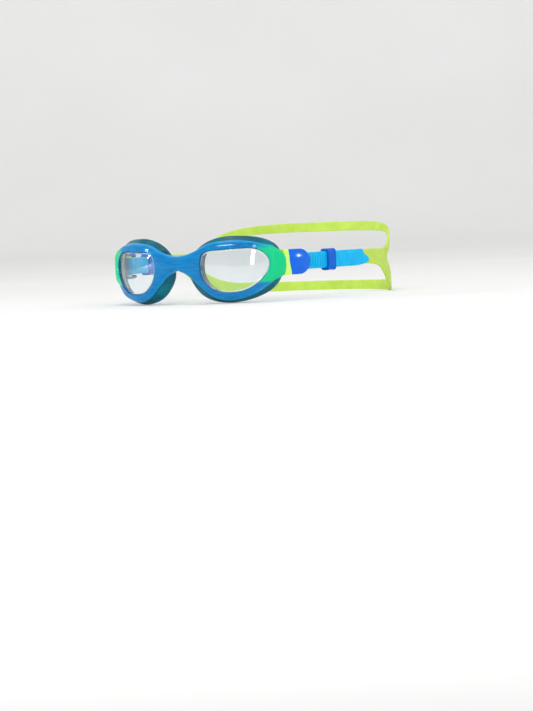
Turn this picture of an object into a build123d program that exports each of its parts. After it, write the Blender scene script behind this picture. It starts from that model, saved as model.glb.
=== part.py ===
"""Swim goggles with a one-piece soft frame, two wrapped lenses and a split silicone strap.

Frame of the part: +X is the wearer's left, +Y runs from the lenses to the back of the head, +Z is up.
The origin is the middle of the base: the face seals and the lower strap band stand on Z = 0.
All sizes are in millimetres. The left side is modelled, and the right side is its mirror image.

Everything follows one plan curve, the rail: the outer surface of the goggles seen from above. It is
the lens wrap, the turn at the temple, the straight strap run, and two arcs round the head. A layer of
the goggles lies between two insets from that rail, and its outline is drawn from the front or the side.
"""
from build123d import *
import os
from math import cos, sin, tan, radians

# The rail, as arcs given by radius and by heading. A heading of 90 degrees runs along +X,
# 0 runs along +Y, and -90 runs along -X.
WRAP_RADIUS = 73.0
WRAP_END_HEADING = 44.0
TEMPLE_RADIUS = 22.0
STRAP_HEADING = 10.0
STRAIGHT_LENGTH = 79.0
SIDE_RADIUS = 80.0
SIDE_END_HEADING = -40.0

# Heights above the base.
LENS_DATUM_Z = 23.5
STRAP_AXIS_Z = 22.4
BLANK_HEIGHT = 50.0

# Frame and lens.
FRAME_THICKNESS = 3.6
FRAME_EDGE_FILLET = 0.6
LENS_RECESS = 0.9
LENS_THICKNESS = 1.4
FLANGE_WIDTH = 1.2
FLANGE_THICKNESS = 1.5
LENS_FIT = 0.06
LENS_WALL_DEPTH = 2.6
LENS_WALL_LIP = 0.8

# Face seal.
SEAL_WALL = 1.7
SKIRT_FRONT = 7.6
SKIRT_BACK = 10.0
SKIRT_INNER_GROWTH = 0.4
NOSE_TIP_Y = 3.4
NOSE_HALF_WIDTH = 10.0
NOSE_DEPTH = 12.0
CLIP_NOTCH = (-3.0, 5.8)

# Temple yoke. Along is measured on the straight strap run, from the end of the temple arc.
YOKE_CORE_FRONT = 1.0
YOKE_CORE_BACK = 2.4
HOOK_INNER_GROWTH = 1.6
HOOK_OUTER_GROWTH = 3.6
HOOK_START_X = 46.0
YOKE_HEIGHT = 15.2
YOKE_NECK_HEIGHT = 11.4
NECK_ALONG = (-12.0, -2.4)
YOKE_FACE_INSET = 0.2
YOKE_BACK_INSET = 3.2
YOKE_ARM_THICKNESS = 1.0
ARM_PIN_RADIUS = 1.25
ARM_BAR_RADIUS = 1.8
BAR_RADIUS = 1.1
BAR_ALONG = 5.8

# Strap, its tail and its keeper.
STRAP_HEIGHT = 9.8
STRAP_THICKNESS = 1.5
TAIL_THICKNESS = 1.4
TAIL_INSET = 1.7
LAYER_GAP = 0.3
STRAP_FIT = 0.3
RIB_HEIGHT = 0.4
RIB_PITCH = 2.4
RIB_WIDTH = 1.2
RIB_HEIGHT_SHARE = 0.8
RIBS_START = 12.0
RIBS_NEAR = 14
WIDE_RIB_WIDTH = 2.8
WIDE_RIB_STARTS = (49.6, 57.2)
JOG_LENGTH = 9.0
STRAP_END_ALONG = 66.0
TAIL_SHOULDER = 74.0
TAIL_TIP = 79.8
KEEPER_ALONG = 37.0
KEEPER_LENGTH = 7.4
KEEPER_WALL = 1.0
KEEPER_BEAD = 0.3

# Lever. Its pin leans forward at the top, in line with the slanted front edge.
LEVER_HEIGHT = 15.0
LEVER_WALL = 0.9
LEVER_LEAN = 10.0
LEVER_FRONT = -0.5
LEVER_ROUND_START = 10.9
LEVER_END = 19.7
LEVER_PROUD = 0.5
LEVER_FACE = 0.9
LEVER_DEPTH = 5.4
LEVER_CROWN_RADIUS = 24.0
LEVER_GAP = 0.25
CHEEK_FIT = 0.4
LEVER_TOOTH = 0.5
SLOT_INSET = 0.1
PIN_RADIUS = 0.6
PIN_INSET = 2.0
PIN_FIT = 0.05

# Split strap: edges in side view as (Y from the bridge, Z from the lens datum).
UPPER_WIDTH = 5.5
LOWER_WIDTH = 6.0
UPPER_LEVEL = 18.5
FORK = (143.0, -2.2)
LIME_TOP = 3.5
LIME_BOTTOM = -5.6
UPPER_HINGE = (147.6, 3.0)
UPPER_SLOPE = 28.0
UPPER_ROOT_RADIUS = 2.7
LOWER_HINGE = (146.6, -11.6)
LOWER_SLOPE = -38.0
LOWER_ROOT_RADIUS = 4.9
UPPER_ROOT_RELIEF = 1.3
LOWER_ROOT_RELIEF = 2.5
ROOT_FIT = 0.15
FAR_Y = 230.0

# Temple end of the frame in the clip's side view, as (along, height from the strap's axis).
FRAME_END = [(-5.7, 7.6), (-3.4, -0.2), (-5.0, -7.6)]

# Front outlines as (X, Z from the lens datum).
LENS_OPENING = [
    (15.4, 0.5), (17.1, 5.8), (24.0, 7.5), (37.8, 8.15), (46.6, 6.7), (50.9, -0.2),
    (47.8, -9.0), (41.0, -15.0), (32.0, -17.0), (22.6, -14.9), (17.0, -9.2),
]
FRAME_TOP = [(0.0, 4.9), (10.6, 7.4), (19.5, 11.6), (28.9, 13.1), (38.0, 12.9), (47.6, 10.6), (56.4, 6.4), (61.0, 5.6)]
FRAME_BOTTOM = [
    (61.0, -8.2), (57.0, -8.7), (51.8, -11.6), (43.6, -18.2), (36.7, -20.9), (28.0, -21.7),
    (21.6, -19.5), (14.1, -13.2), (6.0, -6.2), (0.0, -3.4),
]
SKIRT_OUTLINE = [
    (4.4, -3.0), (8.2, 6.6), (15.0, 12.2), (25.8, 15.5), (35.1, 15.6), (45.0, 13.9), (51.9, 9.4), (54.6, 1.0),
    (54.4, -8.0), (50.8, -14.9), (43.9, -19.9), (34.0, -23.0), (24.2, -23.1), (15.0, -20.2), (8.0, -13.6),
]


def outward(heading):
    """Unit vector that points away from the head, square to a heading."""
    return Vector(cos(radians(heading)), -sin(radians(heading)))


def forward(heading):
    """Unit vector along a heading."""
    return Vector(sin(radians(heading)), cos(radians(heading)))


WRAP_CENTRE = Vector(0, WRAP_RADIUS)
TEMPLE_CENTRE = WRAP_CENTRE + outward(WRAP_END_HEADING) * (WRAP_RADIUS - TEMPLE_RADIUS)
RUN_START = TEMPLE_CENTRE + outward(STRAP_HEADING) * TEMPLE_RADIUS
RUN_END = RUN_START + forward(STRAP_HEADING) * STRAIGHT_LENGTH
SIDE_CENTRE = RUN_END - outward(STRAP_HEADING) * SIDE_RADIUS
SIDE_END = SIDE_CENTRE + outward(SIDE_END_HEADING) * SIDE_RADIUS
BACK_RADIUS = SIDE_END.X / cos(radians(SIDE_END_HEADING))
BACK_CENTRE = SIDE_END - outward(SIDE_END_HEADING) * BACK_RADIUS

# The layers of the strap, as insets from the rail.
TAIL_INNER = TAIL_INSET + TAIL_THICKNESS
STRAP_OUTER = TAIL_INNER + LAYER_GAP
STRAP_INNER = STRAP_OUTER + STRAP_THICKNESS
BAR_INSET = TAIL_INNER + BAR_RADIUS
TURN_INNER = BAR_INSET + BAR_RADIUS

# Heights of the passage for the strap and of the yoke's arms round it.
PASSAGE = STRAP_HEIGHT + 2 * STRAP_FIT
ARMS_HEIGHT = PASSAGE + 2 * YOKE_ARM_THICKNESS

# Half the depth, from the bridge to the back of the strap.
MIDDLE_Y = (BACK_CENTRE.Y + BACK_RADIUS - STRAP_OUTER) / 2

# The clip's own frame: X along the strap, Y into the head, Z up.
CLIP = Plane(
    origin=(RUN_START.X, RUN_START.Y, STRAP_AXIS_Z),
    x_dir=(forward(STRAP_HEADING).X, forward(STRAP_HEADING).Y, 0),
    z_dir=(0, 0, 1),
)
CLIP_SIDE = Plane(origin=CLIP.origin, x_dir=CLIP.x_dir, z_dir=-CLIP.y_dir)
PIN_ALONG = LEVER_FRONT + PIN_INSET + LEVER_PROUD
PIN = CLIP * Pos(PIN_ALONG, PIN_INSET, 0) * Rot(0, -LEVER_LEAN, 0)


def rail_arc(centre, radius, start, end):
    """Arc of the rail between two headings."""
    points = [centre + outward(h) * radius for h in (start, (start + end) / 2, end)]
    return ThreePointArc(*points)


def inside(inset):
    """Solid that fills the loop, inside the rail moved in by an inset."""
    temple = rail_arc(TEMPLE_CENTRE, TEMPLE_RADIUS - inset, WRAP_END_HEADING, STRAP_HEADING)
    side = rail_arc(SIDE_CENTRE, SIDE_RADIUS - inset, STRAP_HEADING, SIDE_END_HEADING)
    left = [temple, Line(temple @ 1, side @ 0), side]
    right = [mirror(edge, Plane.YZ) for edge in left]
    wrap = ThreePointArc(temple @ 0, (0, inset), (-(temple @ 0).X, (temple @ 0).Y))
    back_y = BACK_CENTRE.Y + BACK_RADIUS - inset
    back = ThreePointArc(side @ 1, (0, back_y), (-(side @ 1).X, (side @ 1).Y))
    return extrude(make_face([wrap, back, *left, *right]), BLANK_HEIGHT)


def shell(outer, inner):
    """The layer of the loop between two insets."""
    return inside(outer) - inside(inner)


def from_front(face, depth=48.0):
    """Column that carries a front outline back through the lenses and temples."""
    return extrude(Plane.XZ * Pos(0, LENS_DATUM_Z) * face, -depth)


def from_side(face, reach=90.0):
    """Column that carries a side outline across the whole width."""
    return extrude(Plane.YZ * Pos(0, LENS_DATUM_Z) * face, reach, both=True)


def lens_face(growth=0.0, steps=40):
    """The lens opening seen from the front, grown outwards all round."""
    edge = Spline(*LENS_OPENING, periodic=True)
    if growth:
        places = [step / steps for step in range(steps)]
        sideways = [Vector(-(edge % place).Y, (edge % place).X) for place in places]
        edge = Spline(*[edge @ place + side * growth for place, side in zip(places, sideways)], periodic=True)
    return make_face(edge)


def lens_ring(outer, inner):
    """Column round the lens between two growths of its outline."""
    return from_front(lens_face(outer) - lens_face(inner))


def wrap_behind(shift):
    """Everything behind the lens wrap moved back along +Y."""
    return Pos(0, WRAP_RADIUS + shift, BLANK_HEIGHT / 2) * Cylinder(WRAP_RADIUS, BLANK_HEIGHT)


def past_frame(height):
    """Everything behind the rounded temple end of the frame, up to a height."""
    end = ThreePointArc(*FRAME_END)
    far = 60.0
    corners = [(FRAME_END[-1][0], -far), (far, -far), (far, far), (FRAME_END[0][0], far)]
    sides = Polyline(end @ 1, *corners, end @ 0)
    outline = make_face([end, *sides.edges()]) & Rectangle(2 * far, height)
    return extrude(CLIP_SIDE * outline, 20, both=True)


def make_yoke_core():
    """Part of the yoke that the frame is moulded over: a hook round the lens and a neck to the clip."""
    hook = lens_ring(HOOK_OUTER_GROWTH, HOOK_INNER_GROWTH)
    hook &= Pos(HOOK_START_X + 20, 0, LENS_DATUM_Z) * Box(40, 160, 60)
    neck = clip_box(NECK_ALONG, (-5, 12), YOKE_NECK_HEIGHT) - from_front(lens_face(HOOK_INNER_GROWTH))
    return (hook + neck) & shell(YOKE_CORE_FRONT, YOKE_CORE_BACK)


def off_rail(point):
    """Distance of a point of the frame from the rail, seen from above."""
    x, y = abs(point.X), point.Y
    wrap = (Vector(x, y) - WRAP_CENTRE).length - WRAP_RADIUS
    temple = (Vector(x, y) - TEMPLE_CENTRE).length - TEMPLE_RADIUS
    return min(abs(wrap), abs(temple))


def make_frame(core):
    """Soft frame: both rims, the bridge and the temple ends in one moulding, over the yokes' cores."""
    top = Spline(*[(-x, z) for x, z in reversed(FRAME_TOP[1:])], *FRAME_TOP)
    bottom = Spline(*FRAME_BOTTOM, *[(-x, z) for x, z in reversed(FRAME_BOTTOM[:-1])])
    ends = [Line(top @ 1, bottom @ 0), Line(bottom @ 1, top @ 0)]
    holes = lens_face() + mirror(lens_face(), Plane.YZ)
    frame = from_front(make_face([top, bottom, *ends]) - holes) & shell(0, FRAME_THICKNESS)
    outlines = [edge for edge in frame.edges() if edge.geom_type != GeomType.LINE]
    steps = (0, 0.3, 0.5, 0.7, 1)
    front_edges = [edge for edge in outlines if max(off_rail(edge @ step) for step in steps) < 1e-3]
    frame = fillet(front_edges, FRAME_EDGE_FILLET)
    behind = past_frame(60)
    frame = frame - behind - mirror(behind, Plane.YZ)
    rebate = lens_ring(FLANGE_WIDTH + LENS_FIT, -LENS_WALL_LIP)
    rebate &= inside(FRAME_THICKNESS - FLANGE_THICKNESS - LENS_FIT)
    frame = frame - rebate - mirror(rebate, Plane.YZ)
    return frame - core - mirror(core, Plane.YZ)


def make_lens():
    """Lens: a wrapped window with a stepped flange for the frame's rebate and a wall for the seal."""
    window = from_front(lens_face(-LENS_FIT)) & shell(LENS_RECESS, LENS_RECESS + LENS_THICKNESS)
    wall = lens_ring(FLANGE_WIDTH, -LENS_WALL_LIP)
    wall &= shell(FRAME_THICKNESS - FLANGE_THICKNESS, FRAME_THICKNESS + LENS_WALL_DEPTH)
    return window + wall


def make_nose():
    """Wedge of the nose, which the inner side of each seal leans on."""
    plan = Polygon((0, NOSE_TIP_Y), (NOSE_HALF_WIDTH, NOSE_TIP_Y + NOSE_DEPTH), (0, NOSE_TIP_Y + NOSE_DEPTH), align=None)
    return extrude(plan, BLANK_HEIGHT)


def make_seal(lens):
    """Face seal: a soft wall round the lens wall, with a wide skirt that meets the face."""
    wall = lens_ring(FLANGE_WIDTH + SEAL_WALL, 0) & inside(FRAME_THICKNESS)
    wall -= wrap_behind(SKIRT_BACK)
    skirt_face = make_face(Spline(*SKIRT_OUTLINE, periodic=True)) - lens_face(SKIRT_INNER_GROWTH)
    skirt = from_front(skirt_face) & (wrap_behind(SKIRT_FRONT) - wrap_behind(SKIRT_BACK))
    notch = clip_box((CLIP_NOTCH[0], 30), (-5, CLIP_NOTCH[1]), 60)
    return wall + skirt - lens - make_nose() - notch


def clip_box(along, insets, height):
    """Box in the clip's frame, from ranges along the strap and of inset, centred in height."""
    middle = Pos((along[0] + along[1]) / 2, (insets[0] + insets[1]) / 2, 0)
    return CLIP * middle * Box(along[1] - along[0], insets[1] - insets[0], height)


def clip_pin(along, inset, radius, height):
    """Upright cylinder in the clip's frame, centred in height."""
    return CLIP * Pos(along, inset, 0) * Cylinder(radius, height)


def leaning_pin(radius, height=30.0):
    """Cylinder on the lever's pin axis."""
    return PIN * Cylinder(radius, height)


def in_front(edge, far=20.0):
    """Everything forward of the lever's front edge, which leans with the pin."""
    slant = CLIP * Pos(edge, 0, 0) * Rot(0, -LEVER_LEAN, 0) * Pos(-far / 2, 0, 0)
    return slant * Box(far, 40, 60)


def make_yoke(core):
    """Hard yoke: the core in the frame, the face that shows beside it, and an arm above and below the strap."""
    temple_zone = Pos(RUN_START.X, RUN_START.Y, STRAP_AXIS_Z) * Box(40, 40, 2 * YOKE_HEIGHT)
    face = shell(YOKE_FACE_INSET, YOKE_BACK_INSET) & temple_zone & past_frame(YOKE_HEIGHT)
    face &= in_front(LEVER_FRONT + 1.0)
    arms = []
    for side in (-1, 1):
        level = side * (PASSAGE + YOKE_ARM_THICKNESS) / 2
        pin_along = PIN_ALONG - level * tan(radians(LEVER_LEAN))
        root = Pos(pin_along - PIN_INSET - 1.8, YOKE_BACK_INSET - 0.6) * Circle(0.6)
        knuckle = Pos(pin_along, PIN_INSET) * Circle(ARM_PIN_RADIUS)
        seat = Pos(BAR_ALONG, BAR_INSET) * Circle(ARM_BAR_RADIUS)
        plate = make_hull([*root.edges(), *knuckle.edges(), *seat.edges()])
        arms.append(CLIP * Pos(0, 0, level - YOKE_ARM_THICKNESS / 2) * extrude(plate, YOKE_ARM_THICKNESS))
    socket = leaning_pin(PIN_INSET + LEVER_PROUD + LEVER_GAP, 60)
    yoke = core + (face - socket) + arms[0] + arms[1]
    return yoke - leaning_pin(PIN_RADIUS) - clip_pin(BAR_ALONG, BAR_INSET, BAR_RADIUS, ARMS_HEIGHT - 1.0)


def make_bar():
    """Bar that the strap turns round, with its ends held in the yoke's arms."""
    return clip_pin(BAR_ALONG, BAR_INSET, BAR_RADIUS, ARMS_HEIGHT - 1.0)


def make_pin():
    """Pin of the lever, which runs through both arms into the lever's cheeks."""
    return leaning_pin(PIN_RADIUS) & (CLIP * Box(60, 60, LEVER_HEIGHT - 0.8))


def lever_outline(margin):
    """Side view of the lever: a leaning front and a round end, moved in by a margin."""
    half = LEVER_HEIGHT / 2 - margin
    lean = half * tan(radians(LEVER_LEAN))
    front = LEVER_FRONT + margin
    top = Line((front - lean, half), (LEVER_ROUND_START, half))
    nose = Spline(
        (LEVER_ROUND_START, half), (LEVER_END - margin, 0), (LEVER_ROUND_START, -half),
        tangents=[(1, 0), (-1, 0)], tangent_scalars=[1.3, 1.3],
    )
    bottom = Line((LEVER_ROUND_START, -half), (front + lean, -half))
    return make_face([top, nose, bottom, Line(bottom @ 1, top @ 0)])


def lever_column(margin, insets):
    """Column of the lever's outline between two insets."""
    return extrude(CLIP_SIDE * Pos(0, 0, -insets[0]) * lever_outline(margin), -(insets[1] - insets[0]))


def make_lever():
    """Lever cap: a crowned shell over the strap's turn, with a cheek each side that the pin runs through."""
    crown = CLIP * Pos(0, LEVER_CROWN_RADIUS - LEVER_PROUD, 0) * Rot(0, 90, 0) * Cylinder(LEVER_CROWN_RADIUS, 80)
    body = lever_column(0, (-LEVER_PROUD, LEVER_DEPTH)) & crown
    square_front = in_front(PIN_ALONG) & clip_box((-20, 20), (-5, 12), 40)
    body = (body - square_front) + (body & square_front & leaning_pin(PIN_INSET + LEVER_PROUD))
    hollow = lever_column(LEVER_WALL, (LEVER_FACE, LEVER_DEPTH + 1)) - in_front(PIN_ALONG)
    drum = leaning_pin(PIN_INSET + LEVER_PROUD - 1.0) & (CLIP * Box(60, 60, LEVER_HEIGHT - 2 * LEVER_WALL))
    mouth = clip_box((LEVER_ROUND_START - 3, 40), (LEVER_FACE, 12), PASSAGE)
    slots = clip_box((-20, 20), (SLOT_INSET, 12), ARMS_HEIGHT + 2 * CHEEK_FIT) - clip_box((-20, 20), (-5, 12), PASSAGE - 0.4)
    throat = in_front(PIN_ALONG) & clip_box((-20, 20), (PIN_INSET + 0.4, 12), ARMS_HEIGHT + 2 * CHEEK_FIT)
    lever = body - hollow - drum - mouth - (slots & in_front(PIN_ALONG)) - throat
    for along in (BAR_ALONG + 2.0, BAR_ALONG + 4.4):
        lever += clip_box((along, along + 0.8), (LEVER_FACE - 0.3, LEVER_FACE + LEVER_TOOTH), STRAP_HEIGHT - 1.0)
    return lever - leaning_pin(PIN_RADIUS + PIN_FIT)


def tail_outline():
    """Side view of the tail: straight, then a shoulder at the top and a tongue that leans down."""
    half = STRAP_HEIGHT / 2
    bottom_end = (TAIL_TIP - 22.0, -half)
    tongue = Spline(
        (TAIL_SHOULDER - 0.5, half - 0.9), (TAIL_SHOULDER + 1.1, 1.8), (TAIL_TIP - 1.1, 0.1), (TAIL_TIP, -1.6),
        (TAIL_TIP - 1.6, -3.2), (TAIL_TIP - 8.0, -4.5), bottom_end, tangents=[(0.3, -1), (-1, 0)],
    )
    return make_face([
        Line((BAR_ALONG, half), (TAIL_SHOULDER, half)), Line((TAIL_SHOULDER, half), tongue @ 0), tongue,
        Line(bottom_end, (BAR_ALONG, -half)), Line((BAR_ALONG, -half), (BAR_ALONG, half)),
    ])


def make_strap_end():
    """Ribbed end of the strap: it comes along the head, turns round the bar and runs back as a free tail."""
    run = clip_box((BAR_ALONG + JOG_LENGTH, STRAP_END_ALONG), (STRAP_OUTER, STRAP_INNER), STRAP_HEIGHT)
    jog_face = Polygon(
        (BAR_ALONG, TURN_INNER), (BAR_ALONG + JOG_LENGTH, STRAP_OUTER),
        (BAR_ALONG + JOG_LENGTH, STRAP_INNER), (BAR_ALONG, TURN_INNER + STRAP_THICKNESS), align=None,
    )
    jog = CLIP * Pos(0, 0, -STRAP_HEIGHT / 2) * extrude(jog_face, STRAP_HEIGHT)
    turn = clip_pin(BAR_ALONG, BAR_INSET, BAR_RADIUS + TAIL_THICKNESS, STRAP_HEIGHT)
    turn -= clip_box((BAR_ALONG, 40), (-5, 12), 2 * STRAP_HEIGHT)
    tail = extrude(CLIP_SIDE * Pos(0, 0, -TAIL_INSET) * tail_outline(), -TAIL_THICKNESS)
    end = run + jog + turn + tail - clip_pin(BAR_ALONG, BAR_INSET, BAR_RADIUS, 2 * STRAP_HEIGHT)
    ribs = [(RIBS_START + i * RIB_PITCH, RIB_WIDTH) for i in range(RIBS_NEAR)]
    ribs += [(along, WIDE_RIB_WIDTH) for along in WIDE_RIB_STARTS]
    for along, width in ribs:
        insets = (TAIL_INSET - RIB_HEIGHT, TAIL_INSET + RIB_HEIGHT)
        end += clip_box((along, along + width), insets, STRAP_HEIGHT * RIB_HEIGHT_SHARE)
    return end


def make_keeper():
    """Loop that holds the tail against the strap and slides on both, with a bead round each edge."""
    front = TAIL_INSET - RIB_HEIGHT - STRAP_FIT
    back = STRAP_INNER + STRAP_FIT
    along = (KEEPER_ALONG, KEEPER_ALONG + KEEPER_LENGTH)
    loop = clip_box(along, (front - KEEPER_WALL, back + KEEPER_WALL), PASSAGE + 2 * KEEPER_WALL)
    bead_length = KEEPER_LENGTH / 4
    grown = KEEPER_WALL + KEEPER_BEAD
    for start in (along[0], along[1] - bead_length):
        bead = (start, start + bead_length)
        loop += clip_box(bead, (front - grown, back + grown), PASSAGE + 2 * grown)
    return loop - clip_box((along[0] - 1, along[1] + 1), (front, back), PASSAGE)


def strap_side_view():
    """Side view of the lime strap, with the gap between its bands cut out."""
    base = -LENS_DATUM_Z
    start = (RUN_START + forward(STRAP_HEADING) * (STRAP_END_ALONG - 2)).Y
    top = Spline(
        (120.0, LIME_TOP), (138.5, LIME_TOP), (148.0, 5.8), (158.0, 10.6), (170.0, 15.6), (186.0, UPPER_LEVEL),
        tangents=[(1, 0), (1, 0)],
    )
    bottom = Spline(
        (118.0, LIME_BOTTOM), (130.5, -7.9), (138.2, -12.4), (145.0, -17.2), (155.0, -21.6), (172.0, base),
        tangents=[(1, 0), (1, 0)],
    )
    blank = make_face([
        Line((start, LIME_TOP), top @ 0), top, Line(top @ 1, (FAR_Y, UPPER_LEVEL)),
        Line((FAR_Y, UPPER_LEVEL), (FAR_Y, base)), Line((FAR_Y, base), bottom @ 1), bottom,
        Line(bottom @ 0, (start, LIME_BOTTOM)), Line((start, LIME_BOTTOM), (start, LIME_TOP)),
    ])
    gap_top = Spline(
        FORK, (147.5, 0.4), (155.0, 4.2), (164.0, 8.6), (175.0, 12.0), (186.0, UPPER_LEVEL - UPPER_WIDTH),
        tangents=[(0.6, 1), (1, 0)],
    )
    gap_bottom = Spline(
        FORK, (147.0, -6.0), (153.0, -9.8), (162.0, -13.8), (172.0, -16.6), (186.0, base + LOWER_WIDTH),
        tangents=[(0.6, -1), (1, 0)],
    )
    gap = make_face([
        gap_top, Line(gap_top @ 1, (FAR_Y, UPPER_LEVEL - UPPER_WIDTH)),
        Line((FAR_Y, UPPER_LEVEL - UPPER_WIDTH), (FAR_Y, base + LOWER_WIDTH)),
        Line((FAR_Y, base + LOWER_WIDTH), gap_bottom @ 1), gap_bottom,
    ])
    return blank - gap


def past(hinge, slope, back_off=0.0):
    """Side-view half plane past a hinge, square to the band's slope."""
    return Pos(*hinge) * Rot(0, 0, slope) * Pos(100.0 - back_off, 0) * Rectangle(200, 200)


def make_strap():
    """Left side of the lime strap, and its upper and lower bands, each with a round root in a socket."""
    whole = strap_side_view()
    above = Pos(FAR_Y / 2, FORK[1] + 50) * Rectangle(2 * FAR_Y, 100)
    upper = (whole & above & past(UPPER_HINGE, UPPER_SLOPE)) + Pos(*UPPER_HINGE) * Circle(UPPER_ROOT_RADIUS)
    lower = ((whole - above) & past(LOWER_HINGE, LOWER_SLOPE)) + Pos(*LOWER_HINGE) * Circle(LOWER_ROOT_RADIUS)
    side = whole - (past(UPPER_HINGE, UPPER_SLOPE, UPPER_ROOT_RELIEF) & above)
    side -= past(LOWER_HINGE, LOWER_SLOPE, LOWER_ROOT_RELIEF) - above
    side -= Pos(*UPPER_HINGE) * Circle(UPPER_ROOT_RADIUS + ROOT_FIT)
    side -= Pos(*LOWER_HINGE) * Circle(LOWER_ROOT_RADIUS + ROOT_FIT)
    loop = shell(STRAP_OUTER, STRAP_INNER)
    left_half = loop & Pos(60, MIDDLE_Y, BLANK_HEIGHT / 2) * Box(120, 300, BLANK_HEIGHT)
    strap_side = left_half & from_side(side)
    strap_side -= CLIP * Pos(STRAP_END_ALONG - 50, 0, 0) * Box(100, 60, 60)
    return strap_side, loop & from_side(upper), loop & from_side(lower)


def build():
    """Every node of the goggles by name, in the part's own frame."""
    core = make_yoke_core()
    lens = make_lens()
    strap_side, upper_band, lower_band = make_strap()
    nodes = {"frame": make_frame(core), "strap_upper_band": upper_band, "strap_lower_band": lower_band}
    left = {
        "lens": lens,
        "face_seal": make_seal(lens),
        "temple_yoke": make_yoke(core),
        "strap_bar": make_bar(),
        "lever_pin": make_pin(),
        "strap_lever": make_lever(),
        "strap_end": make_strap_end(),
        "strap_keeper": make_keeper(),
        "strap_side": strap_side,
    }
    for name, shape in left.items():
        nodes[name + "_left"] = shape
        nodes[name + "_right"] = mirror(shape, Plane.YZ)
    return {name: Pos(0, -MIDDLE_Y, 0) * shape for name, shape in nodes.items()}


def main():
    """Writes one STEP file for each node."""
    os.makedirs("parts", exist_ok=True)
    for name, shape in build().items():
        export_step(shape, f"parts/{name}.step")


if __name__ == "__main__":
    main()
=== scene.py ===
"""Looks of the swim goggles: soft mouldings, strap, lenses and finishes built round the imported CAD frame.

The scene is in metres in the row frame: +X to the wearer's left, +Y from the lenses to the back of the
head, +Z up. Sizes in this file are in millimetres and become metres when a mesh is made.
"""
import logging
from dataclasses import dataclass, field
from enum import Enum
from math import radians

import bmesh
import bpy
import numpy as np
from mathutils import Matrix, Vector

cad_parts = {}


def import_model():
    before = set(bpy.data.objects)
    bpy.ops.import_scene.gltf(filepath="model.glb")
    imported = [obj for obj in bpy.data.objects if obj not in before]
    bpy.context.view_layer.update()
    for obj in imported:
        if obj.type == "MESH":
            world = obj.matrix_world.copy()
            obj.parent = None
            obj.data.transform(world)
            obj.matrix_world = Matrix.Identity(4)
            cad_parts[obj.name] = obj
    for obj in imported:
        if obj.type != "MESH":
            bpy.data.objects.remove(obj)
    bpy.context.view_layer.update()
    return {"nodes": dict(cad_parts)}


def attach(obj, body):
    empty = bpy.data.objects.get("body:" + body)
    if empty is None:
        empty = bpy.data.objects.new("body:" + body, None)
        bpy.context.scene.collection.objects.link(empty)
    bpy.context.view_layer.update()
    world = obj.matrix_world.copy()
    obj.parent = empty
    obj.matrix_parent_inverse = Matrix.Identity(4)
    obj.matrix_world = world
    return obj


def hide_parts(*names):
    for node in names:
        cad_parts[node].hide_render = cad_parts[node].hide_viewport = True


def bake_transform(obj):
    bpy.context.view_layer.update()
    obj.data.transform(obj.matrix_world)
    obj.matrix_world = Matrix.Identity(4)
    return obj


LOG = logging.getLogger("goggles")
MM = 0.001
FRAME_THICKNESS = 3.6


class Side(Enum):
    """Which half of the goggles a piece is on; the value is the sign of X."""

    LEFT = 1
    RIGHT = -1

    @property
    def word(self) -> str:
        """Ending of the CAD node names on this side."""
        return self.name.lower()


# ---- curves


def closed_spline(points: list[tuple[float, float]], count: int) -> np.ndarray:
    """Smooth closed curve through points.

    A periodic cubic: the second derivatives at the points solve the usual cyclic three-term system.

    Args:
        points: Corners of the outline, in order, without repeating the first.
        count: Number of samples, evenly spaced along the curve.

    Returns:
        An array of count rows of (x, z).
    """
    p = np.array(points, float)
    n = len(p)
    nxt = np.roll(p, -1, axis=0)
    h = np.linalg.norm(nxt - p, axis=1)
    hp = np.roll(h, 1)
    rows = np.arange(n)
    a = np.zeros((n, n))
    a[rows, (rows - 1) % n] = hp
    a[rows, rows] = 2 * (hp + h)
    a[rows, (rows + 1) % n] = h
    prev = np.roll(p, 1, axis=0)
    rhs = 6 * ((nxt - p) / h[:, None] - (p - prev) / hp[:, None])
    m = np.linalg.solve(a, rhs)
    t = np.linspace(0, 1, 40, endpoint=False)[None, :, None]
    hh, m0, m1 = h[:, None, None], m[:, None, :], np.roll(m, -1, axis=0)[:, None, :]
    p0, p1 = p[:, None, :], nxt[:, None, :]
    dense = p0 * (1 - t) + p1 * t + hh**2 / 6 * (((1 - t) ** 3 - (1 - t)) * m0 + (t**3 - t) * m1)
    return resample(dense.reshape(-1, 2), count, closed=True)


def open_spline(points: list[tuple[float, float]], per_span: int = 24) -> np.ndarray:
    """Smooth open curve through points, as a Hermite curve with slopes taken from the neighbours.

    Args:
        points: Points the curve passes, in order.
        per_span: Samples between two neighbours.

    Returns:
        An array of rows (x, z), ending at the last point.
    """
    p = np.array(points, float)
    d = np.linalg.norm(np.diff(p, axis=0), axis=1)
    slope = np.diff(p, axis=0) / d[:, None]
    inner = (slope[:-1] * d[1:, None] + slope[1:] * d[:-1, None]) / (d[:-1] + d[1:])[:, None]
    tangent = np.vstack([slope[:1], inner, slope[-1:]])
    t = np.linspace(0, 1, per_span, endpoint=False)[None, :, None]
    p0, p1 = p[:-1, None, :], p[1:, None, :]
    m0, m1 = tangent[:-1, None, :] * d[:, None, None], tangent[1:, None, :] * d[:, None, None]
    return np.vstack([hermite(p0, p1, m0, m1, t).reshape(-1, 2), p[-1:]])


def hermite(p0: np.ndarray, p1: np.ndarray, m0: np.ndarray, m1: np.ndarray, t: np.ndarray) -> np.ndarray:
    """Cubic from p0 to p1 that leaves with slope m0 and arrives with slope m1, at shares t of the way."""
    start, leave = 2 * t**3 - 3 * t**2 + 1, t**3 - 2 * t**2 + t
    return start * p0 + leave * m0 + (3 * t**2 - 2 * t**3) * p1 + (t**3 - t**2) * m1


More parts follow.
